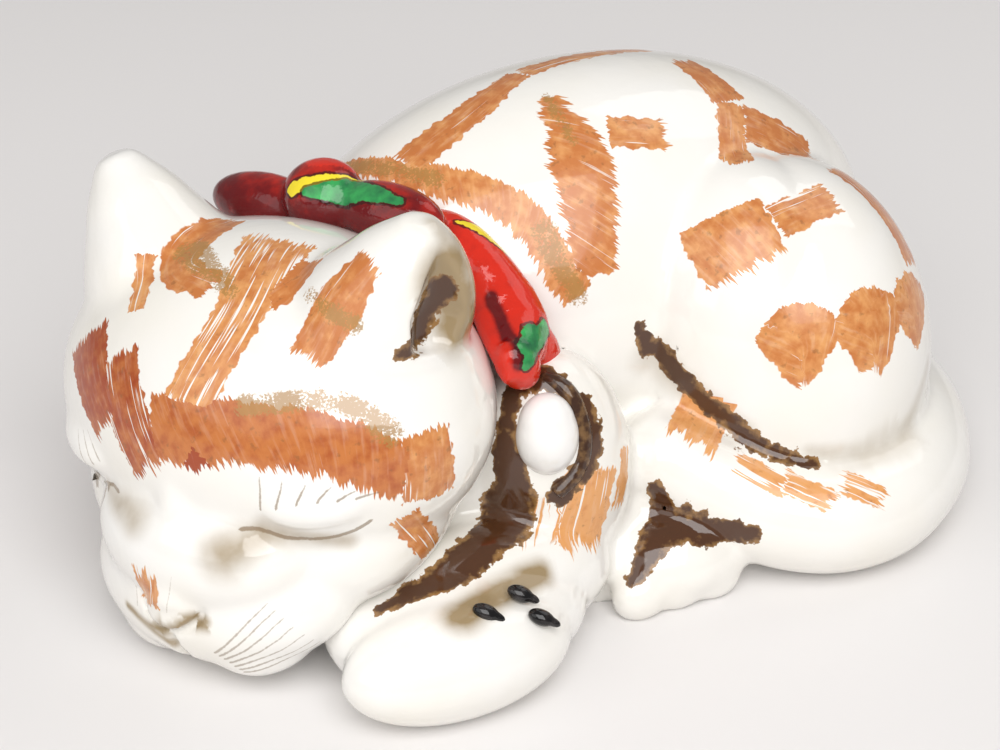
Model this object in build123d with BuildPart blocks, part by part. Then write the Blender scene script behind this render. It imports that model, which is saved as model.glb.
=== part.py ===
"""A porcelain figurine of a sleeping cat, built from the pieces that a maker casts or presses and lutes together.

Units are millimetres. X runs from the cat's head (-X) to its rump (+X), -Y is the side where its paws lie,
+Z is up, and the origin lies on the table, under the middle of the figurine's bounding box.
"""

import os

from build123d import *

# ---- Driving dimensions -------------------------------------------------------------------------
WALL = 4.5  # thickness of the cast porcelain
BASE_THICKNESS = 5.0  # the slab that closes the casting from below
VENT_RADIUS = 4.0  # the hole in the base that lets air out in the kiln
PASSAGE_RADIUS = 7.0  # the holes between the hollow pieces, which vent them into the body

# The figurine's own layout point is the middle of the belly. Every place below is measured from it,
# and STAND moves the finished pieces so that the origin is under the middle of the bounding box.
STAND = Location((-7.5, 7.0, 0))

# Body: the back's dome, the hips and the chest, each an ellipsoid of (half length, half width, half height)
BACK_CENTRE, BACK_SIZE = (32, 22, 54), (86, 52, 58)
HIPS_CENTRE, HIPS_SIZE = (30, 4, 4), (82, 60, 42)
CHEST_CENTRE, CHEST_SIZE = (-18, -6, 26), (36, 40, 38)
HAUNCH_CENTRE, HAUNCH_SIZE = (73, -17, 40), (40, 45, 54)

# Head: its own frame has +X to the cat's left ear, -Y to its nose and +Z to its crown
HEAD_CENTRE = (-66, -9, 57)
HEAD_TURN, HEAD_NOD, HEAD_TILT = -55, 29, -7
CRANIUM_CENTRE, CRANIUM_SIZE = (0, 1.5, 1), (60, 44, 40.5)
CHEEK_CENTRE, CHEEK_SIZE = (24, -12, -13), (28, 32, 22)
MUZZLE_CENTRE, MUZZLE_SIZE = (0, -39, -17), (38, 26, 19)
PAD_CENTRE, PAD_SIZE = (12.5, -46, -22), (17.5, 18, 12.5)
EAR_ROOT, EAR_TIP = (34, 17, 24), (48, 33, 44)
EAR_WIDTH, EAR_DEPTH = 25, 13

# Legs and feet
SHOULDER_CENTRE, SHOULDER_SIZE = (-4, -37, 33), (22, 20, 36)
FOREARM_CENTRE, FOREARM_SIZE = (-28, -52, 15), (34, 17, 18)
FOREPAW_CENTRE, FOREPAW_SIZE = (-45, -72, 13), (30, 16, 15)
UNDER_CHIN_CENTRE, UNDER_CHIN_SIZE = (-50, -55, 12), (22, 26, 13)
HIND_PAW_CENTRE, HIND_PAW_SIZE = (26, -52, 9), (21, 15, 12.5)
TOE_SIZE = (8, 6, 7)
TOE_SPACING = 10.5
CLAW_SIZE = (3.6, 2.2, 2.4)
CLAW_CENTRES = ((-40, -74.5, 27.5), (-29, -71.5, 28), (-26, -78.5, 24))

# Tail: its centreline from behind the rump, round the side, to the tip against the belly
TAIL_PATH = (
    (96, 48, 12), (112, 20, 13), (114, -10, 14), (106, -38, 14.5), (90, -57, 15),
    (72, -63, 15), (55, -58, 17), (40, -48, 22), (28, -40, 29),
)
TAIL_RADII = (12, 13.5, 14.5, 15.5, 15.5, 15.5, 15, 13, 10)

# Neckwear: a padded collar round the neck, its bow at the nape, and a bell on the cat's left
COLLAR_CENTRE, COLLAR_RADIUS = (2, 43, -41), 52
COLLAR_HALF_WIDTH, COLLAR_HALF_THICKNESS = 10, 7
COLLAR_START, COLLAR_ARC = 8, 160
BOW_KNOT_CENTRE, BOW_KNOT_SIZE = (-6, 50, 16), (11, 10, 9)
BOW_LOOP_CENTRES = ((-25, 47, 11), (13, 50, 14))
BOW_LOOP_SIZE = (17, 8, 8)
RIBBON_END_CENTRES = ((55, 27, -10), (60, 38, -19))
RIBBON_END_SIZES = ((8, 8, 13), (5, 6, 11))
BELL_CENTRE, BELL_SIZE = (-11, -51, 54), (8, 8, 11.5)
CORD_RADIUS = 2.4
CORD_PATH = ((-7, -42, 64), (-2, -49, 56), (-3, -54, 47), (-11, -57, 40))


# ---- Helpers ------------------------------------------------------------------------------------
def ellipsoid(centre, size, frame=Location((0, 0, 0))):
    """An ellipsoid of three half-widths, centred in the frame that is given."""
    ball = scale(Sphere(1, mode=Mode.PRIVATE), by=size, mode=Mode.PRIVATE)
    return frame * Pos(*centre) * ball


def grown(size, by):
    """The half-widths of an ellipsoid that stands outside another by a fixed distance."""
    return tuple(half + by for half in size)


def mirrored(point):
    """The same place on the other side of the head."""
    return (-point[0], point[1], point[2])


def tube(path, radii):
    """A loft through round sections, each square to a smooth centreline and with its seam on top."""
    with BuildLine():
        centreline = Spline(*path)
    with BuildPart(mode=Mode.PRIVATE) as body:
        for point, radius in zip(path, radii):
            heading = centreline % centreline.param_at_point(Vector(point))
            with BuildSketch(Plane(origin=point, x_dir=(0, 0, 1), z_dir=heading)):
                Circle(radius)
        loft()
    return body.part


def finish(piece, label):
    """Labels a piece, stands it in the frame and writes its STEP file."""
    piece.label = label
    export_step(piece.moved(STAND), f"parts/{label}.step")
    print(f"{label:20s} solids {len(piece.solids())}  volume {piece.volume:10.1f}  valid {piece.is_valid}")


os.makedirs("parts", exist_ok=True)
HEAD = Pos(*HEAD_CENTRE) * Rot(0, 0, HEAD_TURN) * Rot(HEAD_NOD, 0, 0) * Rot(0, HEAD_TILT, 0)

# ---- Outer forms, which the pieces are cut to so that they meet face to face ----------------------
back_form = ellipsoid(BACK_CENTRE, BACK_SIZE)
hips_form = ellipsoid(HIPS_CENTRE, HIPS_SIZE)
chest_form = ellipsoid(CHEST_CENTRE, CHEST_SIZE)
tail_form = tube(TAIL_PATH, TAIL_RADII)
tail_tip_form = ellipsoid(TAIL_PATH[-1], (TAIL_RADII[-1],) * 3)

with BuildPart() as body_form:
    add(back_form)
    add(hips_form)
    add(chest_form)
    split(bisect_by=Plane.XY, keep=Keep.TOP)

with BuildPart() as haunch_form:
    add(ellipsoid(HAUNCH_CENTRE, HAUNCH_SIZE))
    split(bisect_by=Plane.XY.offset(BASE_THICKNESS), keep=Keep.TOP)

with BuildPart() as haunch_hollow:
    add(ellipsoid(HAUNCH_CENTRE, grown(HAUNCH_SIZE, -WALL)))
    split(bisect_by=Plane.XY.offset(BASE_THICKNESS + WALL), keep=Keep.TOP)

with BuildPart() as body_hollow:
    add(ellipsoid(BACK_CENTRE, grown(BACK_SIZE, -WALL)))
    add(ellipsoid(HIPS_CENTRE, grown(HIPS_SIZE, -WALL)))
    add(ellipsoid(CHEST_CENTRE, grown(CHEST_SIZE, -WALL)))
    split(bisect_by=Plane.XY, keep=Keep.TOP)

with BuildPart() as head_form:
    add(ellipsoid(CRANIUM_CENTRE, CRANIUM_SIZE, HEAD))
    for side in (1, -1):
        cheek = (side * CHEEK_CENTRE[0], *CHEEK_CENTRE[1:])
        pad = (side * PAD_CENTRE[0], *PAD_CENTRE[1:])
        add(ellipsoid(cheek, CHEEK_SIZE, HEAD))
        add(ellipsoid(pad, PAD_SIZE, HEAD))
    add(ellipsoid(MUZZLE_CENTRE, MUZZLE_SIZE, HEAD))

# ---- Body ---------------------------------------------------------------------------------------
neck_passage = HEAD * Pos(0, 38, -18) * Rot(90, 0, 0) * Cylinder(PASSAGE_RADIUS, 40, mode=Mode.PRIVATE)
haunch_passage = Pos(62, -14, 56) * Rot(90, 0, 0) * Cylinder(PASSAGE_RADIUS, 50, mode=Mode.PRIVATE)

with BuildPart() as body_shell:
    add(body_form.part)
    add(body_hollow.part, mode=Mode.SUBTRACT)
    add(neck_passage, mode=Mode.SUBTRACT)
    add(haunch_passage, mode=Mode.SUBTRACT)
finish(body_shell.part, "body_shell")

with BuildPart() as base_plate:
    add(body_hollow.part)
    split(bisect_by=Plane.XY.offset(BASE_THICKNESS), keep=Keep.BOTTOM)
    with Locations((HIPS_CENTRE[0], HIPS_CENTRE[1], 0)):
        Cylinder(VENT_RADIUS, 3 * BASE_THICKNESS, mode=Mode.SUBTRACT)
finish(base_plate.part, "base_plate")

with BuildPart() as haunch_shell:
    add(haunch_form.part)
    add(haunch_hollow.part, mode=Mode.SUBTRACT)
    add(body_form.part, mode=Mode.SUBTRACT)
finish(haunch_shell.part, "haunch_shell")

with BuildPart() as tail:
    add(tail_form)
    add(tail_tip_form)
    split(bisect_by=Plane.XY, keep=Keep.TOP)
    add(body_form.part, mode=Mode.SUBTRACT)
    add(haunch_form.part, mode=Mode.SUBTRACT)
finish(tail.part, "tail")

# ---- Legs ---------------------------------------------------------------------------------------
with BuildPart() as hind_paw:
    add(ellipsoid(HIND_PAW_CENTRE, HIND_PAW_SIZE))
    for step in (-1, 0, 1):
        toe = (HIND_PAW_CENTRE[0] - 4 + step * TOE_SPACING, HIND_PAW_CENTRE[1] - 8, 5)
        add(ellipsoid(toe, TOE_SIZE))
    split(bisect_by=Plane.XY, keep=Keep.TOP)
    for neighbour in (body_form.part, haunch_form.part, tail_form):
        add(neighbour, mode=Mode.SUBTRACT)
finish(hind_paw.part, "hind_paw")

with BuildPart() as left_foreleg:
    add(ellipsoid(SHOULDER_CENTRE, SHOULDER_SIZE))
    add(ellipsoid(FOREARM_CENTRE, FOREARM_SIZE))
    split(bisect_by=Plane.XY, keep=Keep.TOP)
    for neighbour in (body_form.part, haunch_form.part, tail_form, tail_tip_form, hind_paw.part):
        add(neighbour, mode=Mode.SUBTRACT)
finish(left_foreleg.part, "left_foreleg")

with BuildPart() as right_forepaw:
    add(ellipsoid(FOREPAW_CENTRE, FOREPAW_SIZE))
    add(ellipsoid(UNDER_CHIN_CENTRE, UNDER_CHIN_SIZE))
    split(bisect_by=Plane.XY, keep=Keep.TOP)
    for neighbour in (body_form.part, left_foreleg.part):
        add(neighbour, mode=Mode.SUBTRACT)
finish(right_forepaw.part, "right_forepaw")

# ---- Head ---------------------------------------------------------------------------------------
with BuildPart() as head_hollow:
    add(ellipsoid(CRANIUM_CENTRE, grown(CRANIUM_SIZE, -WALL), HEAD))
    add(ellipsoid(MUZZLE_CENTRE, grown(MUZZLE_SIZE, -WALL), HEAD))

with BuildPart() as head_shell:
    add(head_form.part)
    split(bisect_by=Plane.XY, keep=Keep.TOP)
    add(head_hollow.part, mode=Mode.SUBTRACT)
    for neighbour in (body_form.part, left_foreleg.part, right_forepaw.part):
        add(neighbour, mode=Mode.SUBTRACT)
finish(head_shell.part, "head_shell")


def ear(side):
    """One ear: a tapering leaf of clay whose front is scooped out, standing on the head."""
    root = Vector(side * EAR_ROOT[0], *EAR_ROOT[1:])
    tip = Vector(side * EAR_TIP[0], *EAR_TIP[1:])
    upright = tip - root
    outward = Vector(side * 0.75, -0.65, 0.1)
    with BuildPart(mode=Mode.PRIVATE) as leaf:
        for share, width, depth in ((-0.35, 1, 1), (0.2, 0.86, 0.8), (0.65, 0.52, 0.5), (1, 0.12, 0.14)):
            middle = root + upright * share
            across = upright.cross(outward)
            with BuildSketch(Plane(origin=middle, x_dir=across, z_dir=upright)):
                Ellipse(EAR_WIDTH * width, EAR_DEPTH * depth)
        loft()
    scoop_plane = Plane(origin=root + upright * 0.1 + outward * 12, x_dir=upright.cross(outward), z_dir=upright)
    scoop = ellipsoid((0, 0, 0), (13, 9, 19), scoop_plane.location)
    with BuildPart(mode=Mode.PRIVATE) as scooped:
        add(leaf.part)
        add(scoop, mode=Mode.SUBTRACT)
    return HEAD * scooped.part


ear_pieces = {}
for side, label in ((1, "left_ear"), (-1, "right_ear")):
    with BuildPart() as one_ear:
        add(ear(side))
        for neighbour in (head_form.part, body_form.part):
            add(neighbour, mode=Mode.SUBTRACT)
    ear_pieces[label] = one_ear.part
    finish(one_ear.part, label)

# ---- Collar, bow and bell -----------------------------------------------------------------------
COLLAR_PLANE = Plane(HEAD * Pos(*COLLAR_CENTRE) * Rot(90, 0, 0))
with BuildPart() as collar_form:
    with BuildLine(COLLAR_PLANE):
        ring = CenterArc((0, 0), COLLAR_RADIUS, COLLAR_START, COLLAR_ARC)
    with BuildSketch(Plane(origin=ring @ 0, x_dir=COLLAR_PLANE.z_dir, z_dir=ring % 0)):
        Ellipse(COLLAR_HALF_WIDTH, COLLAR_HALF_THICKNESS)
    sweep(path=ring)

body_and_head = (body_form.part, head_form.part, left_foreleg.part, *ear_pieces.values())
with BuildPart() as bow_knot:
    add(ellipsoid(BOW_KNOT_CENTRE, BOW_KNOT_SIZE, HEAD))
    for neighbour in body_and_head:
        add(neighbour, mode=Mode.SUBTRACT)
finish(bow_knot.part, "bow_knot")
worn = [bow_knot.part]

for centre, label in zip(BOW_LOOP_CENTRES, ("bow_right_loop", "bow_left_loop")):
    with BuildPart() as bow_loop:
        add(ellipsoid(centre, BOW_LOOP_SIZE, HEAD))
        for neighbour in (*body_and_head, *worn):
            add(neighbour, mode=Mode.SUBTRACT)
    worn.append(bow_loop.part)
    finish(bow_loop.part, label)

for centre, size, label in zip(RIBBON_END_CENTRES, RIBBON_END_SIZES, ("ribbon_front_end", "ribbon_rear_end")):
    with BuildPart() as ribbon_end:
        add(ellipsoid(centre, size, HEAD))
        for neighbour in (*body_and_head, *worn):
            add(neighbour, mode=Mode.SUBTRACT)
    worn.append(ribbon_end.part)
    finish(ribbon_end.part, label)

with BuildPart() as collar_band:
    add(collar_form.part)
    for neighbour in (*body_and_head, *worn):
        add(neighbour, mode=Mode.SUBTRACT)
    add(collar_band.part.solids().sort_by(SortBy.VOLUME)[-1], mode=Mode.REPLACE)
worn.append(collar_band.part)
finish(collar_band.part, "collar_band")

with BuildPart() as bell:
    add(ellipsoid(BELL_CENTRE, BELL_SIZE))
    for neighbour in (*body_and_head, *worn):
        add(neighbour, mode=Mode.SUBTRACT)
worn.append(bell.part)
finish(bell.part, "bell")

with BuildPart() as bell_cord:
    add(tube(CORD_PATH, (CORD_RADIUS,) * len(CORD_PATH)))
    for neighbour in (*body_and_head, *worn):
        add(neighbour, mode=Mode.SUBTRACT)
finish(bell_cord.part, "bell_cord")

with BuildPart() as paw_claws:
    for centre in CLAW_CENTRES:
        add(ellipsoid(centre, CLAW_SIZE))
    for neighbour in (left_foreleg.part, right_forepaw.part):
        add(neighbour, mode=Mode.SUBTRACT)
finish(paw_claws.part, "paw_claws")
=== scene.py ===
"""A hand-painted porcelain figurine of a sleeping cat: its glazed skin, its neckwear and its brushwork.

Places and sizes are in millimetres in the piece's own seat, and become metres as each mesh is made.
"""

from __future__ import annotations

import logging
import math
from dataclasses import dataclass
from enum import Enum

import bpy
import numpy as np
from mathutils import Matrix, Vector
from mathutils.bvhtree import BVHTree


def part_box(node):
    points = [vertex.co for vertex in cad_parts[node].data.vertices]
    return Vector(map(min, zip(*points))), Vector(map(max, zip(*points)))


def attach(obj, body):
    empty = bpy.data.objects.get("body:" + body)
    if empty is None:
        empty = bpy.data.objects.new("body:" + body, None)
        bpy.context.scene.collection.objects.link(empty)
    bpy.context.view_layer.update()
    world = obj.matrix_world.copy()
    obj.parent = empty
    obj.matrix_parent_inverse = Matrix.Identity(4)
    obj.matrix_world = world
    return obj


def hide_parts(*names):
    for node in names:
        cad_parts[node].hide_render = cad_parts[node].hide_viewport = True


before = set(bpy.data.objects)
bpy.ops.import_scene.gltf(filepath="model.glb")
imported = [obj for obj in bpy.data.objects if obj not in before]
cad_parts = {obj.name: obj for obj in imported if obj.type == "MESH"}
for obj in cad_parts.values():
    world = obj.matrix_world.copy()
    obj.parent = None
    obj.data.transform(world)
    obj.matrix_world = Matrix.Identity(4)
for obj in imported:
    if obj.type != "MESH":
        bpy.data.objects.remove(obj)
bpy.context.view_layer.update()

Triple = tuple[float, float, float]

LOG = logging.getLogger("porcelain_cat")
BODY = "root"
MM = 0.001
BASE_MIDDLE = (30.0, 4.0)  # the base plate's middle, measured from the layout point under the belly


# ---- Bench work: the few operations that every piece is modelled with ---------------------------
def deselect_all() -> None:
    """Leaves nothing selected, in object mode."""
    if bpy.context.object and bpy.context.object.mode != "OBJECT":
        bpy.ops.object.mode_set(mode="OBJECT")
    bpy.ops.object.select_all(action="DESELECT")


def activate(piece: bpy.types.Object) -> None:
    """Selects one piece alone and makes it the active one.

    Args:
        piece: The piece.
    """
    deselect_all()
    piece.select_set(True)
    bpy.context.view_layer.objects.active = piece


def settle(piece: bpy.types.Object, seat: Matrix) -> None:
    """Puts a piece into its seat and moves its place into its mesh.

    Args:
        piece: The piece.
        seat: The seat that it goes into.
    """
    piece.matrix_world = seat @ piece.matrix_world
    activate(piece)
    bpy.ops.object.transform_apply(location=True, rotation=True, scale=True)


def apply_modifier(piece: bpy.types.Object, kind: str, **settings: object) -> None:
    """Adds one modifier with its settings and applies it.

    Args:
        piece: The piece.
        kind: The modifier's type.
        settings: Its settings by name.
    """
    activate(piece)
    bpy.ops.object.modifier_add(type=kind)
    modifier = piece.modifiers[-1]
    for setting, value in settings.items():
        setattr(modifier, setting, value)
    bpy.ops.object.modifier_apply(modifier=modifier.name)


def join(pieces: list[bpy.types.Object], name: str) -> bpy.types.Object:
    """Joins pieces into the first of them and names it.

    Args:
        pieces: The pieces, of which the first stays.
        name: Its new name.

    Returns:
        The joined piece.
    """
    deselect_all()
    for piece in pieces:
        piece.select_set(True)
    bpy.context.view_layer.objects.active = pieces[0]
    if len(pieces) > 1:
        bpy.ops.object.join()
    pieces[0].name = name
    return pieces[0]


def layout_seat() -> Matrix:
    """Where the layout point under the belly stands in the frame, found from the base plate.

    Returns:
        The seat that every place in the layout is measured in.
    """
    low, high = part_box("base_plate")
    middle = (low + high) / 2
    return Matrix.Translation((middle.x - BASE_MIDDLE[0] * MM, middle.y - BASE_MIDDLE[1] * MM, 0.0))


def turned(seat: Matrix, middle: Triple, turn: float, nod: float, tilt: float) -> Matrix:
    """Works out a seat inside another: moved, then turned about Z, nodded about X and tilted about Y.

    Args:
        seat: The outer seat.
        middle: Where the new seat lies in it, in millimetres.
        turn: The turn about Z in degrees.
        nod: The nod about X in degrees.
        tilt: The tilt about Y in degrees.

    Returns:
        The new seat.
    """
    place = Matrix.Translation(Vector(middle) * MM)
    spin = Matrix.Rotation(math.radians(turn), 4, "Z")
    bow = Matrix.Rotation(math.radians(nod), 4, "X")
    lean = Matrix.Rotation(math.radians(tilt), 4, "Y")
    return seat @ place @ spin @ bow @ lean


@dataclass(frozen=True)
class Ball:
    """An ellipsoid of clay: its middle, its three half-widths, and its turn in degrees."""

    middle: Triple
    half: Triple
    turn: Triple = (0.0, 0.0, 0.0)

    def model(self, seat: Matrix) -> bpy.types.Object:
        """Models the ball in its seat.

        Args:
            seat: The seat that the ball is measured in.

        Returns:
            The ball's mesh object.
        """
        deselect_all()
        bpy.ops.mesh.primitive_uv_sphere_add(
            segments=64,
            ring_count=40,
            radius=MM,
            location=Vector(self.middle) * MM,
            rotation=tuple(math.radians(angle) for angle in self.turn),
            scale=self.half,
        )
        ball = bpy.context.object
        settle(ball, seat)
        return ball

    def mirrored(self) -> "Ball":
        """The same ball on the other side of the X = 0 plane.

        Returns:
            The mirrored ball.
        """
        return Ball(
            (-self.middle[0], *self.middle[1:]),
            self.half,
            (self.turn[0], -self.turn[1], -self.turn[2]),
        )


@dataclass(frozen=True)
class Roll:
    """A roll of clay along a smooth line, with its radius at each point of the line."""

    path: tuple[Triple, ...]
    radii: tuple[float, ...]

    def model(self, seat: Matrix) -> bpy.types.Object:
        """Models the roll in its seat as a closed mesh.

        Args:
            seat: The seat that the roll is measured in.

        Returns:
            The roll's mesh object.
        """
        deselect_all()
        bpy.ops.curve.primitive_bezier_curve_add()
        roll = bpy.context.object
        line = roll.data
        line.dimensions = "3D"
        line.splines.clear()
        spline = line.splines.new("BEZIER")
        spline.bezier_points.add(len(self.path) - 1)
        for knot, place, radius in zip(spline.bezier_points, self.path, self.radii):
            knot.co = Vector(place) * MM
            knot.radius = radius
            knot.handle_left_type = "AUTO"
            knot.handle_right_type = "AUTO"
        spline.resolution_u = 14
        line.bevel_depth = MM
        line.bevel_resolution = 9
        line.use_fill_caps = True
        activate(roll)
        bpy.ops.object.convert(target="MESH")
        bpy.ops.object.mode_set(mode="EDIT")
        bpy.ops.mesh.select_all(action="SELECT")
        bpy.ops.mesh.remove_doubles(threshold=0.01 * MM)
        bpy.ops.mesh.normals_make_consistent(inside=False)
        bpy.ops.object.mode_set(mode="OBJECT")
        settle(roll, seat)
        return roll

    def mirrored(self) -> "Roll":
        """The same roll on the other side of the X = 0 plane."""
        return Roll(tuple((-x, y, z) for x, y, z in self.path), self.radii)


def fuse(pieces: list[bpy.types.Object], name: str, grain: float, smoothing: int) -> bpy.types.Object:
    """Works clay pieces together into one closed skin and wipes the joints smooth.

    Args:
        pieces: The clay pieces.
        name: The skin's name.
        grain: The size of its faces.
        smoothing: How many times it is wiped.

    Returns:
        The fused skin.
    """
    lump = join(pieces, name)
    apply_modifier(lump, "REMESH", mode="VOXEL", voxel_size=grain * MM, adaptivity=0.0)
    if smoothing:
        apply_modifier(lump, "SMOOTH", factor=0.5, iterations=smoothing)
    bpy.ops.object.shade_smooth()
    return lump


def carve(lump: bpy.types.Object, cutters: list[bpy.types.Object]) -> None:
    """Cuts each tool's shape out of the lump and throws the tool away.

    Args:
        lump: The piece that is cut.
        cutters: The tools, which are used up.
    """
    for cutter in cutters:
        apply_modifier(lump, "BOOLEAN", operation="DIFFERENCE", object=cutter, solver="EXACT")
        bpy.data.objects.remove(cutter)


def part_by_nodes(lump: bpy.types.Object, nodes: tuple[str, ...]) -> dict[str, bpy.types.Object]:
    """Parts a fused skin into one piece for each CAD node, by which node each face lies nearest to.

    Args:
        lump: The fused skin, which is used up.
        nodes: The CAD nodes' names.

    Returns:
        The new pieces by node name. Each keeps the whole skin's normals, so that no seam shows.
    """
    mesh = lump.data
    normals = np.zeros(len(mesh.vertices) * 3, np.float32)
    mesh.vertices.foreach_get("normal", normals)
    keep = mesh.attributes.new("skin_normal", "FLOAT_VECTOR", "POINT")
    keep.data.foreach_set("vector", normals)
    trees = []
    for node in nodes:
        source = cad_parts[node].data
        places = [vertex.co for vertex in source.vertices]
        faces = [tuple(face.vertices) for face in source.polygons]
        trees.append(BVHTree.FromPolygons(places, faces))
    owner = np.zeros(len(mesh.polygons), int)
    for face in mesh.polygons:
        gaps = [tree.find_nearest(face.center)[3] for tree in trees]
        owner[face.index] = int(np.argmin(gaps))
    owner = even_out(mesh, owner, len(nodes))
    pieces = {}
    for index, node in enumerate(nodes):
        deselect_all()
        copy = lump.copy()
        copy.data = mesh.copy()
        bpy.context.scene.collection.objects.link(copy)
        activate(copy)
        copy.data.polygons.foreach_set("select", owner != index)
        bpy.ops.object.mode_set(mode="EDIT")
        bpy.ops.mesh.select_mode(type="FACE")
        bpy.ops.mesh.delete(type="FACE")
        bpy.ops.object.mode_set(mode="OBJECT")
        copy.name = node + "_skin"
        pieces[node] = copy
    bpy.data.objects.remove(lump)
    return pieces


def even_out(mesh: bpy.types.Mesh, owner: np.ndarray, count: int) -> np.ndarray:
    """Smooths the borders between owners, so that each piece's edge runs evenly.

    Args:
        mesh: The mesh whose faces have owners.
        owner: The owner's index for each face.
        count: How many owners there are.

    Returns:
        The evened owners.
    """
    corners = np.zeros(len(mesh.loops), np.int32)
    mesh.loops.foreach_get("vertex_index", corners)
    corners = corners.reshape(-1, 4)
    for _ in range(12):
        votes = np.zeros((len(mesh.vertices), count))
        for side in range(4):
            np.add.at(votes, (corners[:, side], owner), 1)
        shares = votes[corners].sum(axis=1)
        owner = shares.argmax(axis=1)
    return owner


def give_wall(piece: bpy.types.Object, thickness: float) -> None:
    """Gives an open skin its wall, inwards, and keeps the outer face's smooth normals.

    Args:
        piece: The open skin.
        thickness: The thickness of its wall.
    """
    outer_count = len(piece.data.vertices)
    apply_modifier(piece, "SOLIDIFY", thickness=thickness * MM, offset=-1.0, use_even_offset=False)
    bpy.ops.object.shade_smooth()
    mesh = piece.data
    skin = np.zeros(len(mesh.vertices) * 3, np.float32)
    mesh.attributes["skin_normal"].data.foreach_get("vector", skin)
    corners = np.zeros(len(mesh.loops), np.int32)
    mesh.loops.foreach_get("vertex_index", corners)
    outer = (corners.reshape(-1, 4) < outer_count).all(axis=1).repeat(4)
    normals = skin.reshape(-1, 3)[corners] * outer[:, None]
    mesh.normals_split_custom_set(normals.tolist())


# ---- Brushwork and painted shade: where the marks lie ---------------------------------------------
class Ink(Enum):
    """What a mark is painted with. Two of the inks also stand for painted shade."""

    RUST = "stroke"
    HAIR = "hair"
    UMBER = "umber"
    OCHRE = "ochre"
    # Painted shade in the creases, along the closed eyes, in the mouth cleft, in the ear and by the claws;
    # also the line round the nose and the ear's brown.
    OLIVE = "olive_and_shade"
    GREEN = "green"
    YELLOW = "yellow"
    # The bow's deeper red, and painted shade in the ribbon's fold.
    MAROON = "maroon_and_shade"


@dataclass(frozen=True)
class Mark:
    """One painted mark: its middle line on the skin, its half-widths along it, and how the brush left it.

    The feathers are the lengths of the bristle ends: at the start and the end of a stroke drawn along its
    line, and on its upper and lower side where the bristles run across the line.
    """

    name: str
    ink: Ink
    path: tuple[Triple, ...]
    widths: tuple[float, ...]
    across: bool = False
    feathers: tuple[float, float] = (1.0, 1.0)
    slant: float = 0.0
    tone: float = 0.5
    dryness: float = 0.05


def smooth_line(
    path: tuple[Triple, ...], widths: tuple[float, ...], step: float
) -> tuple[np.ndarray, np.ndarray]:
    """Runs a smooth line through a mark's points.

    Args:
        path: The mark's points.
        widths: The half-width at each point.
        step: The greatest gap between the points of the line.

    Returns:
        The line's points and the half-width at each of them.
    """
    knots = np.array([path[0], *path, path[-1]], float)
    knots[0] = 2 * knots[1] - knots[2]
    knots[-1] = 2 * knots[-2] - knots[-3]
    places = []
    sizes = []
    for index in range(len(path) - 1):
        before, start, end, after = knots[index : index + 4]
        count = max(2, int(np.linalg.norm(end - start) / step) + 1)
        for share in np.arange(count) / count:
            places.append(
                0.5 * (
                    2 * start
                    + (end - before) * share
                    + (2 * before - 5 * start + 4 * end - after) * share**2
                    + (3 * start - before - 3 * end + after) * share**3
                )
            )
            sizes.append(widths[index] + (widths[index + 1] - widths[index]) * share)
    places.append(knots[-2])
    sizes.append(widths[-1])
    return np.array(places), np.array(sizes)


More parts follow.
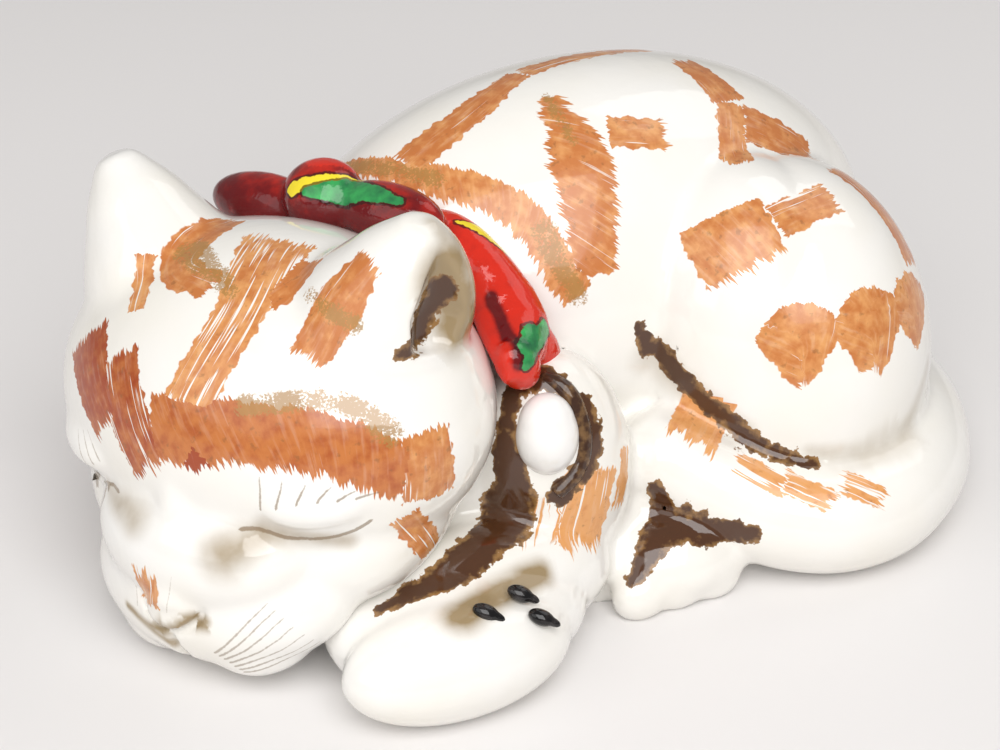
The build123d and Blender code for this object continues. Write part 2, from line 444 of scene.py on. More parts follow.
class Painter:
    """Lays marks on a skin: it stores, at each face corner, where the corner lies in its strongest mark."""

    def __init__(self, lump: bpy.types.Object, seat: Matrix) -> None:
        """Measures the skin in the seat's millimetres.

        Args:
            lump: The skin.
            seat: The seat that the marks are measured in.
        """
        self.mesh = lump.data
        count = len(self.mesh.vertices)
        places = np.zeros(count * 3, np.float32)
        self.mesh.vertices.foreach_get("co", places)
        turn = np.array(seat.inverted())
        self.places = (places.reshape(-1, 3) @ turn[:3, :3].T + turn[:3, 3]) / MM
        corners = np.zeros(len(self.mesh.loops), np.int32)
        self.mesh.loops.foreach_get("vertex_index", corners)
        self.corners = corners.reshape(-1, 4)
        self.tree = BVHTree.FromPolygons(self.places.tolist(), self.corners.tolist())
        faces = len(self.corners)
        self.best = {Ink.RUST: np.full(faces, -90.0), Ink.HAIR: np.full(faces, -90.0)}
        self.stroke = np.zeros((3, faces, 4, 3), np.float32)
        self.stroke[1] = -9.0
        self.hair = np.full((faces, 4, 3), -9.0, np.float32)
        self.puddles_and_shade = {ink: np.full(count, -9.0, np.float32) for ink in Ink}

    def lay(self, marks: tuple[Mark, ...]) -> None:
        """Lays every mark and stores the result on the mesh.

        Args:
            marks: The marks.
        """
        for number, mark in enumerate(marks):
            self.lay_one(mark, number)
        for index, name in enumerate(("stroke_place", "stroke_edge", "stroke_look")):
            self.store(name, "CORNER", self.stroke[index])
        self.store("hair_place", "CORNER", self.hair)
        porcelain = [self.puddles_and_shade[ink] for ink in (Ink.UMBER, Ink.OCHRE, Ink.OLIVE)]
        self.store("puddles_and_shade", "POINT", np.stack(porcelain, axis=1))
        enamel_inks = [self.puddles_and_shade[ink] for ink in (Ink.GREEN, Ink.YELLOW, Ink.MAROON)]
        self.store("enamel_puddles_and_shade", "POINT", np.stack(enamel_inks, axis=1))

    def store(self, name: str, domain: str, values: np.ndarray) -> None:
        """Stores triples on the mesh's points or face corners.

        Args:
            name: The attribute's name.
            domain: POINT or CORNER.
            values: The triples.
        """
        layer = self.mesh.attributes.new(name, "FLOAT_VECTOR", domain)
        layer.data.foreach_set("vector", values.astype(np.float32).ravel())

    def lay_one(self, mark: Mark, number: int) -> None:
        """Works out one mark's own coordinates round its line and keeps them where the mark is strongest.

        Args:
            mark: The mark.
            number: Its place in the row, which varies its grain.
        """
        line, sizes = smooth_line(mark.path, mark.widths, 1.5)
        snapped = [self.tree.find_nearest(Vector(place)) for place in line]
        line = np.array([hit[0] for hit in snapped])
        normals = np.array([hit[1] for hit in snapped])
        heading = np.gradient(line, axis=0)
        heading /= np.linalg.norm(heading, axis=1)[:, None]
        length = np.concatenate([[0], np.cumsum(np.linalg.norm(np.diff(line, axis=0), axis=1))])
        reach = sizes.max() + max(mark.feathers) + 4
        above = self.places > line.min(axis=0) - reach
        below = self.places < line.max(axis=0) + reach
        near = np.flatnonzero((above & below).all(axis=1))
        gaps = self.places[near][:, None, :] - line[None, :, :]
        nearest = (gaps**2).sum(axis=2).argmin(axis=1)
        gap = gaps[np.arange(len(near)), nearest]
        side = np.cross(normals, heading)[nearest]
        along = length[nearest] + (gap * heading[nearest]).sum(axis=1)
        lateral = (gap * side).sum(axis=1)
        deep = np.abs((gap * normals[nearest]).sum(axis=1)) > 9
        size = np.interp(along, length, sizes)
        beyond = np.maximum(np.maximum(-along, along - length[-1]), 0)
        if mark.ink is Ink.RUST:
            self.lay_stroke(mark, number, near, along, lateral, size, length[-1], deep)
            return
        distance = np.hypot(lateral, beyond) + deep * 50
        if mark.ink is Ink.HAIR:
            values = np.stack([lateral, size - beyond - deep * 9, np.full(len(near), mark.tone)], axis=1)
            self.keep(Ink.HAIR, near, size - distance, (self.hair,), (values,))
            return
        puddle = self.puddles_and_shade[mark.ink]
        # The two inks that carry painted shade fade softly out from their line.
        if mark.ink in (Ink.OLIVE, Ink.MAROON):
            fall = np.clip(1 - distance / (2 * size), 0, 1)
            puddle[near] = np.maximum(puddle[near], mark.tone * fall * fall * (3 - 2 * fall))
        else:
            puddle[near] = np.maximum(puddle[near], size - distance)

    def lay_stroke(
        self, mark: Mark, number: int, near: np.ndarray, along: np.ndarray, lateral: np.ndarray,
        size: np.ndarray, length: float, deep: np.ndarray,
    ) -> None:
        """Keeps a brush stroke's own coordinates, with its distances counted in feather lengths.

        Args:
            mark: The stroke.
            number: Its place in the row.
            near: The points of the skin near it.
            along: Their distance along its line.
            lateral: Their distance to the side of its line.
            size: The stroke's half-width beside each of them.
            length: The line's length.
            deep: Which of them lie on another surface.
        """
        first, last = mark.feathers
        if mark.across:
            bristle, over = lateral, along + mark.slant * lateral
            end = np.minimum((size - lateral) / first, (size + lateral) / last)
            edge = np.minimum(along, length - along)
            inside = np.minimum(size - np.abs(lateral), edge)
        else:
            bristle, over = along, lateral + mark.slant * along
            end = np.minimum(along / first, (length - along) / last)
            edge = size - np.abs(lateral)
            inside = np.minimum(np.minimum(along, length - along), edge)
        end = end - deep * 50
        seed = np.full(len(near), number * 1.37)
        tone = np.full(len(near), mark.tone)
        dryness = np.full(len(near), mark.dryness)
        values = (
            np.stack([bristle, over, seed], axis=1),
            np.stack([end, edge, inside], axis=1),
            np.stack([tone, dryness, seed], axis=1),
        )
        self.keep(Ink.RUST, near, inside - deep * 50, tuple(self.stroke), values)

    def keep(
        self, ink: Ink, near: np.ndarray, score: np.ndarray, layers: tuple[np.ndarray, ...],
        values: tuple[np.ndarray, ...],
    ) -> None:
        """Keeps a mark's values on every face where it scores better than the marks before it.

        Args:
            ink: RUST or HAIR.
            near: The points of the skin near the mark.
            score: How far inside the mark each of them lies.
            layers: The stored triples.
            values: The mark's own triples.
        """
        whole = np.full(len(self.places), -99.0)
        whole[near] = score
        marks = whole[self.corners].min(axis=1)
        faces = np.flatnonzero((marks > self.best[ink]) & (marks > -30))
        self.best[ink][faces] = marks[faces]
        spread = np.zeros((len(self.places), 3))
        for layer, value in zip(layers, values):
            spread[near] = value
            layer[faces] = spread[self.corners[faces]]


def row_of_hairs(
    name: str, first: tuple[Triple, Triple], last: tuple[Triple, Triple],
    count: int, width: float, tone: float,
) -> tuple[Mark, ...]:
    """Spaces fine hairs evenly from a first to a last one.

    Args:
        name: The hairs' name.
        first: The root and the tip of the first hair.
        last: The root and the tip of the last hair.
        count: How many hairs there are.
        width: The half-width at the root.
        tone: How dark they are.

    Returns:
        The hairs.
    """
    hairs = []
    for share in np.linspace(0, 1, count):
        root = Vector(first[0]).lerp(Vector(last[0]), share)
        tip = Vector(first[1]).lerp(Vector(last[1]), share)
        hairs.append(Mark(name, Ink.HAIR, (tuple(root), tuple(tip)), (width, width / 2), tone=tone))
    return tuple(hairs)


def crown_marks() -> tuple[Mark, ...]:
    """The tabby marks on the temple, the forehead and the crown.

    Returns:
        The marks.
    """
    return (
        Mark("far_temple", Ink.RUST, ((-35, -10, 30), (-20, -30, 25)), (9, 7), feathers=(5, 6), tone=1.3),
        Mark(
            "far_brow", Ink.RUST, ((-20, -15, 35), (-5, -35, 20)), (7, 7),
            feathers=(4, 7), tone=1.2, dryness=0.2,
        ),
        Mark(
            "forehead_band", Ink.RUST, ((-5, -30, 30), (20, -25, 30), (40, -20, 25), (55, -15, 10)),
            (9, 8, 8, 7),
            across=True, feathers=(2.5, 5), slant=0.5, tone=1.0,
        ),
        Mark("forehead_glow", Ink.RUST, ((5, -25, 35), (10, -35, 25)), (6, 4), feathers=(4, 4), tone=1.7),
        Mark(
            "centre_stripe", Ink.RUST, ((5, 25, 35), (10, 0, 40), (5, -25, 35)), (10, 7, 7),
            feathers=(7, 4), tone=0.45, dryness=0.35,
        ),
        Mark(
            "far_crown", Ink.RUST, ((-15, 30, 30), (-15, 10, 40), (0, 5, 40)), (4, 6, 4),
            feathers=(3, 4), tone=0.6, dryness=0.15,
        ),
        Mark("far_fleck", Ink.RUST, ((-25, 10, 40), (-20, -5, 40)), (3, 3), tone=0.45, dryness=0.3),
        Mark("near_fleck", Ink.RUST, ((20, 20, 35), (15, 5, 40)), (5, 4), feathers=(2, 3), tone=0.7),
        Mark(
            "near_crown", Ink.RUST, ((40, 20, 45), (35, 10, 40), (30, -5, 35)), (4, 7, 5),
            feathers=(5, 6), tone=0.6, dryness=0.12,
        ),
        Mark("ochre_crown", Ink.OCHRE, ((-15, 15, 40), (5, 5, 40)), (6, 4)),
        Mark("ochre_band", Ink.OCHRE, ((20, -20, 35), (40, -10, 30), (50, -10, 20)), (4, 4, 5)),
        Mark("ochre_patch", Ink.OCHRE, ((25, 10, 40), (40, 5, 40)), (3, 4)),
    )


def cheek_marks() -> tuple[Mark, ...]:
    """The dabs on both cheeks and the stripes behind them.

    Returns:
        The marks.
    """
    marks = []
    for side in (1, -1):
        for start, end, width in (((55, -5, 15), (55, -15, 0), 7), ((50, -20, 0), (50, -20, -20), 4)):
            path = ((side * start[0], *start[1:]), (side * end[0], *end[1:]))
            marks.append(
                Mark("cheek_dab", Ink.RUST, path, (width, width), feathers=(3, 3), tone=0.55, dryness=0.2)
            )
    for height in (25, 5, -15):
        path = ((-50, 5, height), (-40, 25, height))
        marks.append(
            Mark("far_cheek_stripe", Ink.RUST, path, (5, 4), feathers=(4, 5), tone=0.6, dryness=0.15)
        )
    return tuple(marks)


def face_marks(eye_line: tuple[Triple, ...]) -> tuple[Mark, ...]:
    """The fine marks of the face.

    Args:
        eye_line: The line of the closed left eye.

    Returns:
        The marks.
    """
    far_eye_line = tuple((-x, y, z) for x, y, z in eye_line)
    lash = tuple(0.7 for _ in eye_line)
    return (
        Mark("eye_line", Ink.HAIR, eye_line, lash, tone=0.85),
        Mark("far_eye_line", Ink.HAIR, far_eye_line, lash, tone=0.8),
        # Painted shade along the closed eyes.
        Mark("eye_shade", Ink.OLIVE, ((15, -45, 5), (25, -40, 10)), (5, 3), tone=1.2),
        Mark("eye_shade_tail", Ink.OLIVE, ((25, -40, 10), (40, -30, 0)), (3, 2), tone=0.9),
        Mark("far_eye_shade", Ink.OLIVE, ((-10, -45, 10), (-25, -40, 10)), (4, 2), tone=0.9),
        Mark(
            "nose_blaze", Ink.RUST, ((-5, -55, 5), (-5, -60, -5)), (4, 5),
            feathers=(8, 3), tone=0.45, dryness=0.4,
        ),
        Mark(
            "nose_outline", Ink.OLIVE, ((-15, -60, -10), (-5, -65, -10), (10, -60, -5)),
            (1, 1.3, 1.2), tone=1.7,
        ),
        # Painted shade in the mouth cleft.
        Mark("mouth_shade", Ink.OLIVE, ((-10, -65, -10), (0, -65, -15)), (1, 1.5), tone=1.6),
        Mark("ear_umber", Ink.OLIVE, ((50, 30, 35), (55, 20, 20)), (5, 5), tone=2.2),
        Mark("ear_umber_tail", Ink.UMBER, ((50, 25, 30), (45, 15, 25), (50, 5, 30)), (4, 3, 1.5)),
        # Painted shade along the inner rim of the left ear.
        Mark("ear_shade", Ink.OLIVE, ((50, 35, 45), (50, 25, 30)), (2, 4), tone=0.9),
        *row_of_hairs(
            "brow_hair", ((25, -35, 15), (25, -30, 22)), ((45, -25, 12), (48, -20, 10)),
            count=6, width=0.5, tone=0.8,
        ),
        *row_of_hairs(
            "far_brow_hair", ((-25, -35, 15), (-30, -30, 20)), ((-30, -35, 12), (-35, -30, 18)),
            count=3, width=0.4, tone=0.6,
        ),
        *row_of_hairs(
            "whisker", ((12, -65, -14), (25, -50, -5)), ((17, -65, -22), (33, -50, -20)),
            count=7, width=0.5, tone=0.7,
        ),
        *row_of_hairs(
            "nose_hair", ((-11, -60, -8), (-12, -55, 0)), ((1, -60, -4), (4, -55, 6)),
            count=3, width=0.3, tone=0.5,
        ),
    )


def flank_marks() -> tuple[Mark, ...]:
    """The tabby marks on the neck, the back and the flanks.

    Returns:
        The marks.
    """
    far_stripes = tuple(
        Mark(
            "far_flank_stripe", Ink.RUST, ((x, 50, 95), (x, 70, 75), (x + 5, 75, 45)), (3, 6, 4),
            feathers=(5, 7), tone=0.55, dryness=0.15,
        )
        for x in (-5, 20, 45, 70)
    )
    return (
        Mark(
            "nape_band", Ink.RUST, ((-30, 35, 90), (-15, 5, 100), (0, -10, 95), (10, -25, 75)), (3, 5, 5, 5),
            across=True, feathers=(2, 3.5), slant=0.6,
        ),
        Mark(
            "shoulder_stripe", Ink.RUST, ((20, 30, 110), (0, 20, 110), (-20, 15, 100)), (4, 5, 6),
            feathers=(2, 4), tone=0.6, dryness=0.1,
        ),
        Mark("ridge_stripe", Ink.RUST, ((60, 35, 105), (20, 30, 110)), (3, 4), feathers=(4, 3), dryness=0.2),
        Mark(
            "flank_fern", Ink.RUST, ((20, 15, 110), (20, -5, 100), (15, -25, 80)), (3, 9, 6),
            across=True, feathers=(4, 4), slant=-0.7, tone=0.6, dryness=0.1,
        ),
        Mark("fern_branch", Ink.RUST, ((30, 0, 105), (45, -5, 105)), (5, 5), feathers=(2, 5), dryness=0.15),
        Mark(
            "rump_ridge", Ink.RUST, ((65, 25, 110), (70, 5, 105)), (4, 6),
            feathers=(4, 2), tone=0.6, dryness=0.1,
        ),
        Mark("rump_leg", Ink.RUST, ((70, 5, 105), (60, -15, 95)), (5, 4), feathers=(2, 5), dryness=0.15),
        Mark(
            "rump_blob", Ink.RUST, ((70, 0, 100), (90, -5, 90)), (7, 6),
            feathers=(3, 3), tone=0.6, dryness=0.1,
        ),
        Mark(
            "rump_edge", Ink.RUST, ((90, -15, 90), (100, -40, 70)), (6, 5),
            feathers=(4, 4), tone=0.6, dryness=0.15,
        ),
        Mark("ochre_nape", Ink.OCHRE, ((-30, 35, 90), (-15, 5, 100)), (4, 4)),
        Mark("ochre_nape_foot", Ink.OCHRE, ((5, -15, 90), (10, -25, 75)), (5, 4)),
        Mark("ochre_fern", Ink.OCHRE, ((20, 15, 110), (20, 0, 105)), (3, 3)),
        *far_stripes,
    )


def haunch_marks() -> tuple[Mark, ...]:
    """The marks on the haunch and along the tail.

    Returns:
        The marks.
    """
    blotches = tuple(
        Mark(
            "haunch_blotch", Ink.RUST, ((x, -55, 60), (x + 8, -55, 65), (x + 15, -55, 60)), (8, 11, 9),
            across=True, feathers=(1.5, 6), slant=0.4, dryness=0.1,
        )
        for x in (50, 70, 90)
    )
    tail_dabs = tuple(
        Mark(
            "tail_dab", Ink.RUST, ((x, y, 35), (x + 10, y - 10, 30)), (4, 3),
            feathers=(5, 5), tone=0.25, dryness=0.45,
        )
        for x, y in ((40, -55), (50, -65), (65, -70))
    )
    return (
        Mark(
            "haunch_bar", Ink.RUST, ((40, -30, 80), (60, -35, 90)), (9, 8),
            across=True, feathers=(1, 5), slant=0.3,
        ),
        Mark(
            "haunch_bar_rear", Ink.RUST, ((60, -35, 90), (80, -30, 90)), (5, 5),
            feathers=(3, 4), dryness=0.15,
        ),
        Mark(
            "tail_tip_dab", Ink.RUST, ((30, -40, 45), (40, -50, 40)), (6, 6),
            across=True, feathers=(1.5, 6), tone=0.3,
        ),
        Mark(
            "crease_umber", Ink.UMBER, ((25, -30, 65), (30, -35, 55), (45, -50, 40), (60, -60, 30)),
            (1.5, 3.2, 2.6, 1.5),
        ),
        # Painted shade beside the crease between haunch and tail, and along the rump crease.
        Mark("crease_shade", Ink.OLIVE, ((30, -30, 55), (45, -50, 40)), (4, 3), tone=0.7),
        Mark("rump_shade", Ink.OLIVE, ((60, -60, 35), (85, -60, 30), (100, -50, 45)), (2, 4, 2), tone=0.6),
        *blotches,
        *tail_dabs,
    )


def leg_marks() -> tuple[Mark, ...]:
    """The dabs on the foreleg, the umber pooled round the bell and the paws, and the painted shade by the
    claws.

    Returns:
        The marks.
    """
    return (
        Mark(
            "foreleg_dab", Ink.RUST, ((0, -55, 45), (-5, -60, 25)), (8, 7),
            feathers=(3, 7), tone=0.2, dryness=0.3,
        ),
        Mark(
            "foreleg_strip", Ink.RUST, ((12, -50, 45), (8, -55, 30)), (3, 3),
            feathers=(2, 6), tone=0.2, dryness=0.3,
        ),
        Mark(
            "foreleg_streaks", Ink.RUST, ((-15, -55, 40), (-20, -60, 30)), (7, 6),
            feathers=(5, 7), tone=0.1, dryness=0.75,
        ),
        Mark(
            "neck_umber", Ink.UMBER,
            ((-60, -60, 25), (-40, -60, 30), (-20, -50, 40), (-20, -45, 55), (-15, -40, 65)),
            (2, 5, 6, 3, 3),
        ),
        Mark("bell_umber", Ink.UMBER, ((-10, -40, 65), (-5, -45, 65)), (4, 3)),
        Mark("cord_umber", Ink.UMBER, ((0, -50, 60), (0, -55, 50), (-10, -55, 40)), (3, 3, 3)),
        Mark("paw_umber", Ink.UMBER, ((20, -50, 30), (20, -55, 20), (10, -60, 10)), (2, 5, 2)),
        Mark("paw_umber_near", Ink.UMBER, ((20, -55, 20), (40, -65, 20)), (5, 3)),
        # Painted shade in the hollow between the paws, by the claws.
        Mark("claw_shade", Ink.OLIVE, ((-45, -75, 30), (-20, -65, 25)), (4, 3), tone=2.0),
    )


def ribbon_marks() -> tuple[Mark, ...]:
    """The leaves on the ribbon, the bow's deeper red and the painted shade in the band's fold.

    Returns:
        The marks.
    """
    return (
        Mark("bow_leaf", Ink.GREEN, ((-5, 45, 25), (5, 50, 20), (20, 50, 20)), (1, 4, 1)),
        Mark("bow_leaf_yellow", Ink.YELLOW, ((-10, 45, 25), (5, 55, 20)), (2, 1)),
        Mark("band_leaf_yellow", Ink.YELLOW, ((30, 55, 10), (35, 55, 5), (40, 50, 0)), (0.5, 2.2, 0.5)),
        Mark("band_leaf", Ink.GREEN, ((60, 30, 0), (60, 40, -5)), (3, 2)),
        Mark("band_leaf_foot", Ink.GREEN, ((60, 35, 0), (65, 25, 0)), (3, 1.5)),
        # The bow's deeper red.
        Mark("bow_maroon", Ink.MAROON, ((-35, 45, 15), (-5, 40, 20), (25, 45, 20)), (9, 9, 8), tone=0.85),
        # Painted shade in the fold under the band's end.
        Mark("fold_maroon", Ink.MAROON, ((45, 40, 0), (60, 25, 0)), (1.4, 1.4), tone=1.2),
    )


# ---- Body ---------------------------------------------------------------------------------------
@dataclass(frozen=True)
class BodyPlan:
    """The body, haunch, tail and legs, as balls and rolls in the layout's seat."""

    grain: float = 1.3
    smoothing: int = 14
    wall: float = 4.0
    base_lip: float = 0.6
    back: Ball = Ball((32, 22, 54), (86, 52, 58))
    hips: Ball = Ball((30, 4, 4), (82, 60, 42))
    chest: Ball = Ball((-18, -6, 26), (36, 40, 38))
    haunch: Ball = Ball((73, -17, 40), (41, 45, 53.5))
    thigh: Ball = Ball((61, -15, 50), (34, 38, 47))
    shoulder: Ball = Ball((-4, -37, 33), (22, 20, 36))
    forearm: Ball = Ball((-28, -52, 15), (34, 17, 18))
    forepaw: Ball = Ball((-45, -72, 13), (30, 16, 15))
    wrist: Ball = Ball((-38, -62, 13), (32, 18, 15.5))
    under_chin: Ball = Ball((-50, -55, 12), (22, 26, 13))
    hind_paw: Ball = Ball((26, -52, 9), (21, 15, 12.5))
    toe_half: Triple = (8, 6, 7)
    toe_spacing: float = 10.5
    tail: Roll = Roll(
        (
            (96, 48, 12), (112, 20, 13), (114, -10, 14), (106, -38, 14.5), (90, -57, 15),
            (72, -63, 15), (55, -58, 17), (41, -49, 23), (28, -40, 31),
        ),
        (12, 13.5, 14.5, 15.5, 15.5, 15.5, 15.5, 14.5, 13),
    )
    tail_tip: Ball = Ball((28, -40, 31), (13, 13, 13))
    nodes: tuple[str, ...] = (
        "body_shell", "haunch_shell", "tail", "hind_paw", "left_foreleg", "right_forepaw",
    )


class BodySkin:
    """The glazed skin of everything but the head."""

    def __init__(self, plan: BodyPlan, seat: Matrix) -> None:
        """Keeps the plan and the seat."""
        self.plan = plan
        self.seat = seat

    def build(self) -> dict[str, bpy.types.Object]:
        """Fuses the clay, stands it flat on the table and parts it into its pieces.

        Returns:
            The pieces by CAD node.
        """
        plan = self.plan
        balls = [
            plan.back, plan.hips, plan.chest, plan.haunch, plan.thigh, plan.shoulder, plan.forearm,
            plan.forepaw, plan.wrist, plan.under_chin, plan.hind_paw, plan.tail_tip,
        ]
        for step in (-1, 0, 1):
            middle = (plan.hind_paw.middle[0] - 4 + step * plan.toe_spacing, plan.hind_paw.middle[1] - 8, 5)
            balls.append(Ball(middle, plan.toe_half))
        clay = [ball.model(self.seat) for ball in balls]
        clay.append(plan.tail.model(self.seat))
        lump = fuse(clay, "body_clay", plan.grain, plan.smoothing)
        stand_flat(lump)
        clear_base(lump, plan.base_lip)
        Painter(lump, self.seat).lay(flank_marks() + haunch_marks() + leg_marks())
        pieces = part_by_nodes(lump, plan.nodes)
        for piece in pieces.values():
            give_wall(piece, plan.wall)
        return pieces


def stand_flat(lump: bpy.types.Object) -> None:
    """Presses whatever reaches below the table flat on it.

    Args:
        lump: The skin.
    """
    mesh = lump.data
    places = np.zeros(len(mesh.vertices) * 3, np.float32)
    mesh.vertices.foreach_get("co", places)
    places = places.reshape(-1, 3)
    places[:, 2] = np.maximum(places[:, 2], 0.0)
    mesh.vertices.foreach_set("co", places.ravel())
    mesh.update()


def clear_base(lump: bpy.types.Object, lip: float) -> None:
    """Lifts the glazed skin off the bare base, so that the base stands proud of it.

    Args:
        lump: The skin.
        lip: How far the base stands proud.
    """
    low, high = (np.array(corner[:2]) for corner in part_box("base_plate"))
    places = np.zeros(len(lump.data.vertices) * 3, np.float32)
    lump.data.vertices.foreach_get("co", places)
    places = places.reshape(-1, 3)
    spread = (places[:, :2] - (low + high) / 2) / ((high - low) / 2)
    over_base = (spread**2).sum(axis=1) < 1
    places[over_base, 2] = np.maximum(places[over_base, 2], lip * MM)
    lump.data.vertices.foreach_set("co", places.ravel())
    lump.data.update()


# ---- Head ---------------------------------------------------------------------------------------
@dataclass(frozen=True)
class HeadPlan:
    """The head and its ears, in a seat with +X to the left ear, -Y to the nose and +Z to the crown."""

    middle: Triple = (-66, -9, 57)
    turn: float = -55
    nod: float = 29
    tilt: float = -7
    grain: float = 1.0
    smoothing: int = 10
    fine_grain: float = 0.85
    fine_smoothing: int = 3
    wall: float = 4.0
    cranium: Ball = Ball((0, 1.5, 1), (60, 44, 40.5))
    cheek: Ball = Ball((24, -12, -13), (28, 32, 22))
    muzzle: Ball = Ball((0, -39, -17), (38, 26, 19))
    pad: Ball = Ball((12.5, -46, -22), (17.5, 18, 12.5))
    face: Ball = Ball((0, -36, -3), (32, 22, 17))
    bridge: Roll = Roll(((0, -32, 14), (0, -41, 4), (0, -49, -3), (0, -57, -8)), (8, 9, 9, 8))
    nose: Ball = Ball((-1, -58.5, -8.5), (9, 5, 5.5))
    brow: Ball = Ball((34, -27, 11), (15, 8, 6.5), (0, 14, 28))
    eye_crease: Roll = Roll(
        (
            (19, -40, 10.5), (23, -38, 9.5), (28, -36, 5.6), (32, -34.3, 4), (37, -31.5, 2.8),
            (42, -28.6, 2.8), (46, -25.5, 4),
        ),
        (0.4, 0.9, 1.3, 1.4, 1.3, 1.0, 0.3),
    )
    mouth_cleft: Roll = Roll(
        ((0, -63.8, -10), (0, -64.2, -14), (0.5, -64.6, -18), (0.5, -62, -25)),
        (1.0, 1.4, 1.8, 2.0),
    )
    mouth_fold: Roll = Roll(
        ((0, -63.6, -10), (5, -61.8, -8.6), (9.5, -58, -5), (11.5, -55, -2)),
        (1.1, 1.4, 1.2, 0.4),
    )
    ear_root: Triple = (34, 17, 24)
    ear_tip: Triple = (48, 33, 44)
    ear_steps: tuple[float, ...] = (-0.5, 0.1, 0.6, 1.0)
    ear_radii: tuple[float, ...] = (26, 20, 13, 5.5)
    ear_rim: Roll = Roll(((45, 32, 44), (47.5, 30.5, 35), (48.5, 26.5, 25), (45, 20, 13)), (5, 7, 7.5, 7))
    ear_opening: Triple = (0.84, -0.44, -0.30)
    scoop_steps: tuple[float, ...] = (0.98, 0.75, 0.45, 0.2)
    scoop_offsets: tuple[float, ...] = (7.5, 12.0, 16.5, 20.0)
    scoop_radii: tuple[float, ...] = (1.5, 5.0, 8.0, 7.0)
    nodes: tuple[str, ...] = ("head_shell", "left_ear", "right_ear")


class HeadSkin:
    """The glazed skin of the head."""

    def __init__(self, plan: HeadPlan, seat: Matrix) -> None:
        """Keeps the plan, and the head's seat inside the layout's seat."""
        self.plan = plan
        self.seat = turned(seat, plan.middle, plan.turn, plan.nod, plan.tilt)

    def ear(self, side: int) -> bpy.types.Object:
        """Models one ear as a leaning cone that sinks into the head.

        Args:
            side: 1 for the left ear, -1 for the right.

        Returns:
            The ear's clay.
        """
        root = Vector((side * self.plan.ear_root[0], *self.plan.ear_root[1:]))
        tip = Vector((side * self.plan.ear_tip[0], *self.plan.ear_tip[1:]))
        path = tuple(tuple(root + (tip - root) * step) for step in self.plan.ear_steps)
        return Roll(path, self.plan.ear_radii).model(self.seat)

    def scoop(self, side: int) -> bpy.types.Object:
        """Models the tool that hollows one ear on its outer side.

        Args:
            side: 1 for the left ear, -1 for the right.

        Returns:
            The tool.
        """
        plan = self.plan
        root = Vector((side * plan.ear_root[0], *plan.ear_root[1:]))
        tip = Vector((side * plan.ear_tip[0], *plan.ear_tip[1:]))
        opening = Vector((side * plan.ear_opening[0], *plan.ear_opening[1:]))
        path = tuple(
            tuple(root + (tip - root) * step + opening * offset)
            for step, offset in zip(plan.scoop_steps, plan.scoop_offsets)
        )
        return Roll(path, plan.scoop_radii).model(self.seat)

    def build(self) -> dict[str, bpy.types.Object]:
        """Fuses the head's clay and parts it into its pieces.

        Returns:
            The pieces by CAD node.
        """
        plan = self.plan
        balls = [
            plan.cranium, plan.muzzle, plan.face, plan.cheek, plan.cheek.mirrored(), plan.pad,
            plan.pad.mirrored(),
        ]
        clay = [ball.model(self.seat) for ball in balls]
        clay += [self.ear(1), self.ear(-1)]
        clay += [plan.ear_rim.model(self.seat), plan.ear_rim.mirrored().model(self.seat)]
        lump = fuse(clay, "head_clay", plan.grain, plan.smoothing)
        features = [plan.bridge, plan.nose, plan.brow, plan.brow.mirrored()]
        lump = fuse([lump] + [feature.model(self.seat) for feature in features], "head_clay", plan.grain, 6)
        carve(lump, [self.scoop(1), self.scoop(-1)])
        lump = fuse([lump], "head_clay", plan.fine_grain, 8)
        creases = [
            plan.eye_crease, plan.eye_crease.mirrored(), plan.mouth_fold, plan.mouth_fold.mirrored(),
            plan.mouth_cleft,
        ]
        carve(lump, [crease.model(self.seat) for crease in creases])
        lump = fuse([lump], "head_clay", plan.fine_grain, plan.fine_smoothing)
        stand_flat(lump)
        marks = crown_marks() + cheek_marks() + face_marks(plan.eye_crease.path)
        Painter(lump, self.seat).lay(marks)
        pieces = part_by_nodes(lump, plan.nodes)
        for piece in pieces.values():
            give_wall(piece, plan.wall)
        return pieces


# ---- Neckwear, bell and claws -------------------------------------------------------------------
@dataclass(frozen=True)
class RibbonPlan:
    """The ribbon collar and its bow, in the head's seat."""

    grain: float = 0.7
    smoothing: int = 4
    band: Roll = Roll(
        (
            (18, 54, 5), (27, 53, 4), (36.5, 48, 0), (44, 42, -5), (50, 37, -6.5), (54.5, 31.5, -4.5),
            (57.5, 26, -2.5),
        ),
        (5, 6, 7.5, 9, 8.5, 6.5, 4.2),
    )
    under_fold: Roll = Roll(
        ((34, 45, 2), (41, 38, -1), (47, 32, -1), (53, 27, -1), (58, 22, -4)),
        (2, 2.6, 2.8, 2.8, 2.4),
    )
    far_band: Roll = Roll(((-22, 46, 6), (-34, 44, -2), (-43, 43, -13), (-48, 43, -26)), (6, 6.5, 6.5, 6))
    knot: Ball = Ball((-6, 50, 16), (11, 10, 9))
    right_loop: Ball = Ball((-25, 47, 11), (17, 8, 8))
    left_loop: Ball = Ball((13, 50, 14), (17, 8, 8))
    rear_end: Ball = Ball((56, 36.5, -12), (3.2, 5, 9))
    front_end: Ball = Ball((56.5, 27, -4.5), (5.5, 5.5, 8))
    pinches: tuple[Roll, ...] = (
        Roll(((-15, 60, 8), (-15.5, 58, 20), (-14, 47, 26), (-13, 38, 24)), (1.0, 1.2, 1.2, 1.0)),
        Roll(((4, 61, 8), (4.5, 59, 20), (4, 49, 25), (3, 40, 24)), (1.0, 1.2, 1.2, 1.0)),
        Roll(((5, 53, 23), (12, 52, 23), (20, 52, 21)), (1.2, 0.8, 0.2)),
        Roll(((-16, 49, 21), (-23, 48, 20), (-31, 47, 18)), (1.2, 0.8, 0.2)),
    )
    nodes: tuple[str, ...] = (
        "bow_knot", "bow_right_loop", "bow_left_loop", "ribbon_front_end", "ribbon_rear_end", "collar_band",
    )


